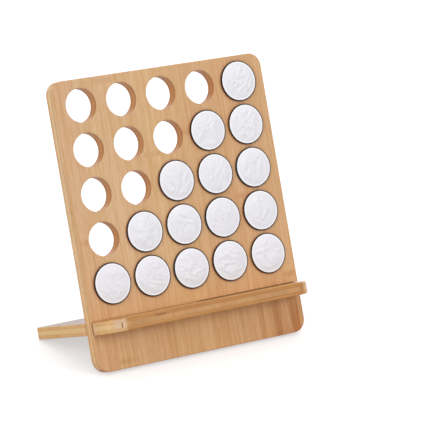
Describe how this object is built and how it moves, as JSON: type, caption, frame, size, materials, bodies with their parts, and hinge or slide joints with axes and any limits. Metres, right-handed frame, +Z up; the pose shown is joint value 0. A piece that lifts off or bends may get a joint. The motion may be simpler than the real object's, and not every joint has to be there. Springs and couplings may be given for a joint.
{
  "type": "coffee capsule holder",
  "caption": "Leaning bamboo panel with a grid of round holes for coffee capsules, crossed by a half-lapped support board that forms a front lip and a rear leg.",
  "frame": {"origin": "middle of the footprint box on the table top", "axes": "+Z up, +X to the right seen from the front, +Y to the rear, the way the panel leans"},
  "size_m": [0.2214, 0.1276, 0.248],
  "materials": {
    "bamboo_panel": "oiled bamboo, grain upright",
    "bamboo_support": "oiled bamboo, three plies",
    "seal_black": "satin",
    "lid_foil": "crinkled satin foil",
    "cup_red": "moulded, satin gloss",
    "cup_yellow": "moulded, satin gloss",
    "cup_teal": "moulded, satin gloss"
  },
  "bodies": {
    "panel": {"capsule_panel": "bamboo_panel"},
    "support": {"support_board": "bamboo_support"},
    "capsule_r1c5": {"capsule_cup_r1c5": "cup_red", "capsule_seal_r1c5": "seal_black", "capsule_foils_r1c5": "lid_foil"},
    "capsule_r2c4": {"capsule_cup_r2c4": "cup_red", "capsule_seal_r2c4": "seal_black", "capsule_foils_r2c4": "lid_foil"},
    "capsule_r2c5": {"capsule_cup_r2c5": "cup_yellow", "capsule_seal_r2c5": "seal_black", "capsule_foils_r2c5": "lid_foil"},
    "capsule_r3c3": {"capsule_cup_r3c3": "cup_red", "capsule_seal_r3c3": "seal_black", "capsule_foils_r3c3": "lid_foil"},
    "capsule_r3c4": {"capsule_cup_r3c4": "cup_yellow", "capsule_seal_r3c4": "seal_black", "capsule_foils_r3c4": "lid_foil"},
    "capsule_r3c5": {"capsule_cup_r3c5": "cup_teal", "capsule_seal_r3c5": "seal_black", "capsule_foils_r3c5": "lid_foil"},
    "capsule_r4c2": {"capsule_cup_r4c2": "cup_red", "capsule_seal_r4c2": "seal_black", "capsule_foils_r4c2": "lid_foil"},
    "capsule_r4c3": {"capsule_cup_r4c3": "cup_yellow", "capsule_seal_r4c3": "seal_black", "capsule_foils_r4c3": "lid_foil"},
    "capsule_r4c4": {"capsule_cup_r4c4": "cup_teal", "capsule_seal_r4c4": "seal_black", "capsule_foils_r4c4": "lid_foil"},
    "capsule_r4c5": {"capsule_cup_r4c5": "cup_red", "capsule_seal_r4c5": "seal_black", "capsule_foils_r4c5": "lid_foil"},
    "capsule_r5c1": {"capsule_cup_r5c1": "cup_red", "capsule_seal_r5c1": "seal_black", "capsule_foils_r5c1": "lid_foil"},
    "capsule_r5c2": {"capsule_cup_r5c2": "cup_yellow", "capsule_seal_r5c2": "seal_black", "capsule_foils_r5c2": "lid_foil"},
    "capsule_r5c3": {"capsule_cup_r5c3": "cup_teal", "capsule_seal_r5c3": "seal_black", "capsule_foils_r5c3": "lid_foil"},
    "capsule_r5c4": {"capsule_cup_r5c4": "cup_red", "capsule_seal_r5c4": "seal_black", "capsule_foils_r5c4": "lid_foil"},
    "capsule_r5c5": {"capsule_cup_r5c5": "cup_yellow", "capsule_seal_r5c5": "seal_black", "capsule_foils_r5c5": "lid_foil"}
  },
  "joints": [
    {"name": "support_slide", "type": "slide", "parent": "panel", "child": "support", "axis": [1, 0, 0], "range_m": [0, 0.225]},
    {"name": "capsule_r1c5_pull", "type": "slide", "parent": "panel", "child": "capsule_r1c5", "axis": [0, -0.9414, 0.3373], "range_m": [0, 0.035]},
    {"name": "capsule_r2c4_pull", "type": "slide", "parent": "panel", "child": "capsule_r2c4", "axis": [0, -0.9414, 0.3373], "range_m": [0, 0.035]},
    {"name": "capsule_r2c5_pull", "type": "slide", "parent": "panel", "child": "capsule_r2c5", "axis": [0, -0.9414, 0.3373], "range_m": [0, 0.035]},
    {"name": "capsule_r3c3_pull", "type": "slide", "parent": "panel", "child": "capsule_r3c3", "axis": [0, -0.9414, 0.3373], "range_m": [0, 0.035]},
    {"name": "capsule_r3c4_pull", "type": "slide", "parent": "panel", "child": "capsule_r3c4", "axis": [0, -0.9414, 0.3373], "range_m": [0, 0.035]},
    {"name": "capsule_r3c5_pull", "type": "slide", "parent": "panel", "child": "capsule_r3c5", "axis": [0, -0.9414, 0.3373], "range_m": [0, 0.035]},
    {"name": "capsule_r4c2_pull", "type": "slide", "parent": "panel", "child": "capsule_r4c2", "axis": [0, -0.9414, 0.3373], "range_m": [0, 0.035]},
    {"name": "capsule_r4c3_pull", "type": "slide", "parent": "panel", "child": "capsule_r4c3", "axis": [0, -0.9414, 0.3373], "range_m": [0, 0.035]},
    {"name": "capsule_r4c4_pull", "type": "slide", "parent": "panel", "child": "capsule_r4c4", "axis": [0, -0.9414, 0.3373], "range_m": [0, 0.035]},
    {"name": "capsule_r4c5_pull", "type": "slide", "parent": "panel", "child": "capsule_r4c5", "axis": [0, -0.9414, 0.3373], "range_m": [0, 0.035]},
    {"name": "capsule_r5c1_pull", "type": "slide", "parent": "panel", "child": "capsule_r5c1", "axis": [0, -0.9414, 0.3373], "range_m": [0, 0.035]},
    {"name": "capsule_r5c2_pull", "type": "slide", "parent": "panel", "child": "capsule_r5c2", "axis": [0, -0.9414, 0.3373], "range_m": [0, 0.035]},
    {"name": "capsule_r5c3_pull", "type": "slide", "parent": "panel", "child": "capsule_r5c3", "axis": [0, -0.9414, 0.3373], "range_m": [0, 0.035]},
    {"name": "capsule_r5c4_pull", "type": "slide", "parent": "panel", "child": "capsule_r5c4", "axis": [0, -0.9414, 0.3373], "range_m": [0, 0.035]},
    {"name": "capsule_r5c5_pull", "type": "slide", "parent": "panel", "child": "capsule_r5c5", "axis": [0, -0.9414, 0.3373], "range_m": [0, 0.035]}
  ]
}
